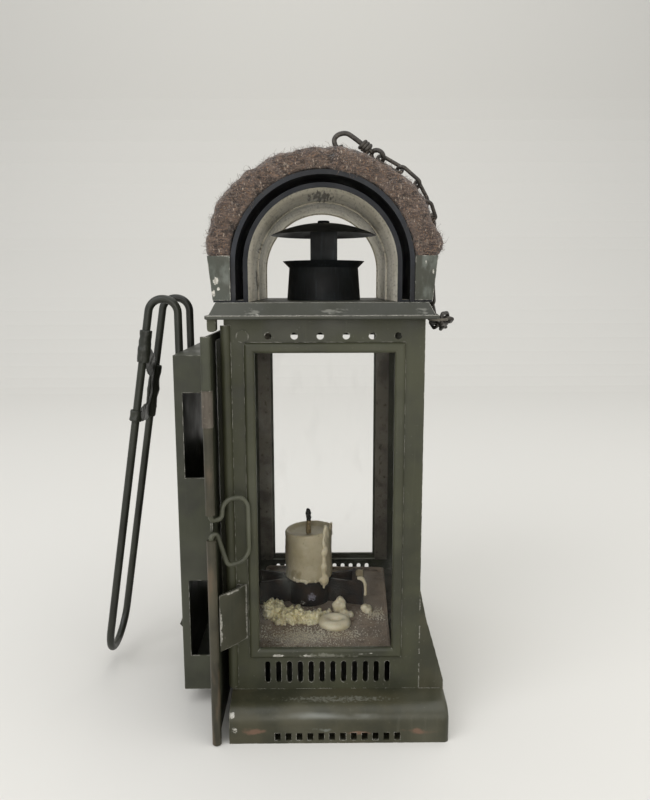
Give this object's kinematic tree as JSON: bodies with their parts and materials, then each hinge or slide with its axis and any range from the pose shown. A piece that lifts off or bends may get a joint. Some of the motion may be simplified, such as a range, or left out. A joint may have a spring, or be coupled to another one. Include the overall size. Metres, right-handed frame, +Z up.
{
  "type": "belt candle lantern",
  "caption": "Sheet-metal candle lantern for a belt: glazed windows, hooded chimney under a felt pad, side door with belt slots and a wire belt hook, and a short chain.",
  "frame": {"origin": "middle of the base of the lantern's box, on the surface that it stands on", "axes": "X right along the windowed front, Y from the front to the back, Z up"},
  "size_m": [0.1613, 0.1382, 0.2462],
  "materials": {
    "olive_paint": "worn dull olive paint on sheet steel, with bare scratches",
    "stove_black": "matt heat-proof black paint",
    "painted_wire": "dark green-black paint on thick wire, chipped",
    "bright_tin": "bright tinned sheet, slightly yellowed",
    "dull_tin": "dull tinned or bare steel with stains",
    "dark_iron": "dark bare iron",
    "dark_steel_wire": "dark oiled steel wire",
    "candle_wax": "ivory wax",
    "wick_cord": "burnt cotton",
    "brown_felt": "thick brown wool felt",
    "window_glass": "clear sheet glass, lightly smudged"
  },
  "bodies": {
    "lantern_body": {"front_panel": "olive_paint", "back_panel": "olive_paint", "right_wall": "olive_paint", "left_frame": "olive_paint", "base_skirt": "olive_paint", "base_floor": "olive_paint", "lid": "olive_paint", "roof_plate": "olive_paint", "front_glass": "window_glass", "back_glass": "window_glass", "glass_keepers": "dull_tin", "tray_rails": "dull_tin", "tray": "dull_tin", "candle_holder": "dark_iron", "candle": "candle_wax", "wick": "wick_cord", "wax_spill": "candle_wax", "flue_neck": "stove_black", "chimney_cap": "stove_black", "cap_strap": "dull_tin", "cap_rivet": "dull_tin", "hood_inner_arch": "bright_tin", "hood_outer_arch": "stove_black", "felt_clamp_left": "olive_paint", "felt_clamp_right": "olive_paint", "clamp_rivets": "dull_tin", "felt_pad": "brown_felt", "lid_lug": "olive_paint", "door_stop_lug": "olive_paint", "chain_tab": "dull_tin", "hinge_leaf": "olive_paint", "hinge_pin": "dark_steel_wire"},
    "door": {"door_plate": "olive_paint", "door_edge_roll": "olive_paint", "edge_sleeve": "dull_tin", "door_knuckles": "olive_paint", "hook_box": "olive_paint", "box_rivets": "dull_tin", "hook_strap": "olive_paint"},
    "latch": {"latch_wire": "dark_steel_wire"},
    "belt_hook": {"belt_hook_wire": "painted_wire", "hook_brace": "olive_paint"},
    "chain_lower": {"chain_lower_run": "dark_steel_wire"},
    "chain_upper": {"chain_upper_run": "dark_steel_wire"},
    "chain_end": {"chain_hook": "dark_steel_wire"}
  },
  "joints": [
    {"name": "door_swing", "type": "hinge", "parent": "lantern_body", "child": "door", "pos_m": [-0.0451, 0.0574, 0.092], "axis": [0, 0, -1], "range_deg": [0, 120]},
    {"name": "latch_swing", "type": "hinge", "parent": "door", "child": "latch", "pos_m": [-0.0451, -0.068, 0.09], "axis": [0, 0, -1], "range_deg": [0, 150]},
    {"name": "hook_swing", "type": "hinge", "parent": "door", "child": "belt_hook", "pos_m": [-0.0657, 0, 0.028], "axis": [0, -1, 0], "range_deg": [0, 30]},
    {"name": "chain_swing", "type": "hinge", "parent": "lantern_body", "child": "chain_lower", "pos_m": [0.0466, -0.0516, 0.1741], "axis": [0, 0, -1], "range_deg": [0, 120]},
    {"name": "chain_fold", "type": "hinge", "parent": "chain_lower", "child": "chain_upper", "pos_m": [0.04085, -0.0427, 0.22013], "axis": [0.3819, 0.4598, 0.8017], "range_deg": [0, 35]},
    {"name": "chain_hook_swing", "type": "hinge", "parent": "chain_upper", "child": "chain_end", "pos_m": [0.02079, -0.0477, 0.2371], "axis": [0.4295, 0.703, 0.5669], "range_deg": [0, 90]}
  ]
}
